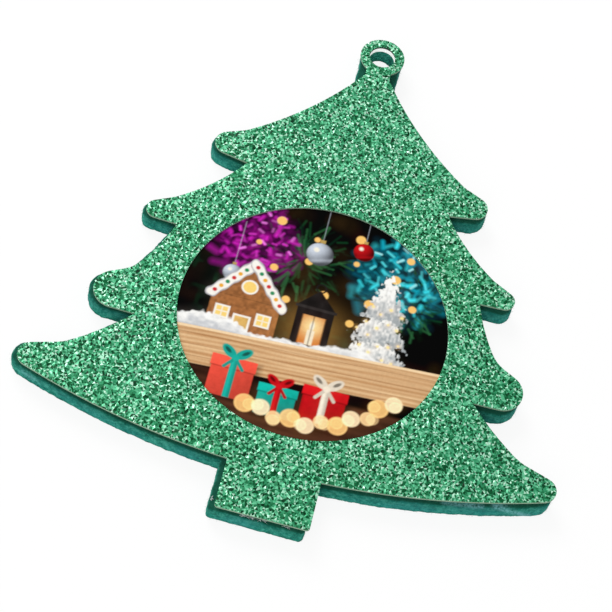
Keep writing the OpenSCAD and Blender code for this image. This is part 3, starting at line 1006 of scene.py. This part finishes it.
paint(at[:, 1] + TABLE_DROP, linear(80, 48, 32) * (0.45 + 0.9 * noise((7, 0.8), 91))[:, None], 0.8)
y = turned(at - PLANK_AT, -PLANK_TILT)[:, 1]
under = -y - PLANK_HEIGHT / 2
lay(cover(-under + 0.6, 1.6) * cover(under - 2.2, 2.4) * 0.7, linear(14, 9, 7))
grain = noise((9, 0.42), 92, PLANK_TILT)
figure = 0.5 + 0.5 * np.sin((y * 2.4 + 2.2 * noise((14, 3), 93, PLANK_TILT)) * 2.6)
share = np.clip(0.55 * grain + 0.45 * figure, 0, 1)[:, None]
paint(np.abs(y) - PLANK_HEIGHT / 2, linear(190, 140, 92) * (1 - share) + linear(238, 202, 154) * share)
for i in (-1, 0, 1):
    paint(np.abs(y - i * 0.3 * PLANK_HEIGHT) - 0.05, linear(150, 98, 56), strength=0.7)
paint(np.abs(y - PLANK_HEIGHT / 2 + 0.25) - 0.25, linear(255, 226, 182), strength=0.8)
tell("table and plank")

# %% Gifts
CORAL, TEAL, CREAM = linear((240, 84, 66), (16, 172, 156), (238, 226, 206))


def paint_bow(knot, band, ribbon):
    """Two loops with a hollow in each, two tails and a knot."""
    for side in (-1, 1):
        heading = 90 - side * 50
        loop = knot + aim(heading) * band * 1.35
        paint(oval(loop, (band * 1.35, band * 0.72), heading), ribbon * 0.95)
        hollow = loop + aim(heading) * band * 0.3
        paint(oval(hollow, (band * 0.62, band * 0.26), heading), ribbon * 0.25)
        paint(bar(knot, knot + aim(-90 + side * 38) * band * 2.1, band * 0.5), ribbon * 0.8)
    paint(disc(knot, band * 0.5), ribbon * 1.1)


def paint_gift(foot, width, height, paper, ribbon):
    """A wrapped box: a shadow, a lit front, a lid, a ribbon with its sheen, and a bow."""
    paint(box(foot + (0.5, -0.4), width + 0.8, height), linear(12, 8, 8), 1.4, 0.6)
    x, y = (at - foot).T
    lit = (0.62 + 0.3 * y / height - 0.22 * x / width + 0.12 * noise((0.8, 0.8), 101))[:, None]
    front = box(foot, width, height)
    paint(front, paper * lit)
    lid = box(foot + (0, height * 0.72), width * 1.06, height * 0.28)
    paint(lid, paper * np.clip(lit * 1.25, 0, 1.3))
    paint(box(foot + (0, height * 0.70), width * 1.06, 0.3), paper * 0.2, strength=0.5)
    band = width / 6
    sheen = (0.7 + 0.5 * np.exp(-((x / band + 0.2) * 3) ** 2))[:, None]
    paint(np.maximum(np.abs(x) - band / 2, front), ribbon * sheen)
    paint_bow(foot + (0, height), band, ribbon)


paint_gift(np.array((-12, -20.5)), 8, 8.5, CORAL, TEAL)
paint_gift(np.array((5.5, -21)), 8, 7.5, RED, CREAM)
paint_gift(np.array((-3, -22)), 7, 6.5, TEAL, RED)
tell("gifts")

# %% Near lights
NEAR_LIGHTS, NEAR_RADIUS = 11, 1.9

for i, heading in enumerate(np.linspace(-112, -36, NEAR_LIGHTS)):
    place = (PRINT_RADIUS - NEAR_RADIUS * (1.6 if i % 2 == 0 else 2.1)) * aim(heading)
    heat = (0.1, 0.6, 0.3)[i % 3]
    blurred_light(place, NEAR_RADIUS * (1 - i % 3 / 8), 0.75, heat)
    blurred_light(place + (0.9, 0.5) * aim(i * GOLDEN_ANGLE), NEAR_RADIUS * 0.62, 0.3, heat)
tell("near lights")

# %% Light spread in the lens
BRIGHT = 0.55
BLOOM, BLOOM_REACH = 0.1, 7
DARKEST = 0.002


def spread(ink, reach):
    """Paint blurred over the grid by three passes of a running mean each way."""
    sheet = ink.reshape(DISC_GRID, DISC_GRID, 3)
    for axis in (0, 1, 0, 1, 0, 1):
        padding = [(reach + 1, reach) if a == axis else (0, 0) for a in range(3)]
        total = np.cumsum(np.pad(sheet, padding, mode="edge"), axis=axis)
        low, high = (np.take(total, range(s, s + DISC_GRID), axis=axis) for s in (0, 2 * reach + 1))
        sheet = (high - low) / (2 * reach + 1)
    return sheet.reshape(-1, 3)


bloom = spread(np.clip(ink - BRIGHT, 0, 1), BLOOM_REACH)
ink = np.clip(ink + BLOOM * bloom, 0, 1)
ink = np.clip(ink * (0.95 + 0.1 * noise((0.3, 0.3), 111))[:, None], DARKEST, 1)
tell("picture")

# %% Put the paint on the disc
print_look = Look("printed_picture", Specular_IOR_Level=0.01)
dots = print_look.noise(print_look.place(), 0.5)
print_look.set(Base_Color=print_look.attribute("ink", "Color"), Roughness=dots * 0.12 + 0.4)
inked = np.arange(len(disc_faces)) < (DISC_GRID - 1) ** 2
picture = new_piece("picture", points, disc_faces, print_look, smooth=inked)
shades = np.ones((len(points), 4))
shades[:, :3] = linear(236, 236, 232)
shades[:len(ink), :3] = ink
give(picture, "ink", "FLOAT_COLOR", "POINT", "color", shades)
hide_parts("picture_disc")
# The back is one polygon, and one of n corners makes n - 2 triangles.
print("picture triangles:", 2 * (len(disc_faces) - 1) + len(rim) - 2)

# %% [markdown]
# The floor is white to the camera and to reflections, and it keeps the ornament's soft shadow: part
# of its light is its own, and the rest is what the lamps give it. It lies a hair below the felt.

# %% Floor
FLOOR_SIZE = 1.6
FLOOR_GREY = 0.86
OWN_LIGHT, OWN_SHARE = 1.03, 0.86
TREE_MIDDLE = Vector((0, -60, 0)) * MM
FLOOR_GAP = Vector((0, 0, 0.02)) * MM

floor_look = Look("white_floor", Base_Color=(FLOOR_GREY, FLOOR_GREY, FLOOR_GREY, 1), Roughness=0.9,
                  Specular_IOR_Level=0.0)
seen = floor_look.node("LightPath", {}, {}, "Is Camera Ray")
rays = seen.socket.node.outputs
for ray in ("Is Glossy Ray", "Is Transmission Ray"):
    seen = seen.math("MAXIMUM", Wire(floor_look, rays[ray]))
glow = floor_look.node("Emission", {}, {"Color": (1, 1, 1, 1), "Strength": OWN_LIGHT}, "Emission")
lit = Wire(floor_look, floor_look.shader.outputs["BSDF"])
mixed = floor_look.node("MixShader", {}, {0: seen * OWN_SHARE, 1: lit, 2: glow}, "Shader")
floor_look.tree.links.new(mixed.socket, floor_look.tree.nodes["Material Output"].inputs["Surface"])
corners = [Vector(corner) * FLOOR_SIZE / 2 for corner in ((-1, -1, 0), (1, -1, 0), (1, 1, 0), (-1, 1, 0))]
floor_mesh = bpy.data.meshes.new("floor")
floor_mesh.from_pydata([corner + TREE_MIDDLE - FLOOR_GAP for corner in corners], [], [(0, 1, 2, 3)])
floor_mesh.materials.append(floor_look.material)
floor = placed("floor", floor_mesh)
print("floor:", FLOOR_SIZE, "m wide")

# %% [markdown]
# One large lamp behind the tree's top rakes the glitter, a weaker one fills the sides that face the
# camera, and the world does the rest.

# %% Lamps
WORLD_LIGHT = 0.5


def lamp(name, azimuth, elevation, distance, size, watts):
    """A square soft lamp that faces the tree's middle from a heading and a height in degrees."""
    a, e = math.radians(azimuth), math.radians(elevation)
    away = Vector((math.sin(a) * math.cos(e), math.cos(a) * math.cos(e), math.sin(e)))
    data = bpy.data.lights.new(name, "AREA")
    data.size = size
    data.energy = watts
    made = placed(name, data)
    made.location = TREE_MIDDLE + away * distance
    made.rotation_euler = away.to_track_quat("Z", "Y").to_euler()


lamp("key", azimuth=-38, elevation=42, distance=1.0, size=0.5, watts=5.2)
lamp("fill", azimuth=200, elevation=40, distance=1.2, size=0.8, watts=3.8)
world = bpy.data.worlds.new("studio")
world.use_nodes = True
background = world.node_tree.nodes["Background"].inputs
background["Color"].default_value = (1, 1, 1, 1)
background["Strength"].default_value = WORLD_LIGHT
bpy.context.scene.world = world
bpy.context.scene.view_settings.view_transform = "Standard"
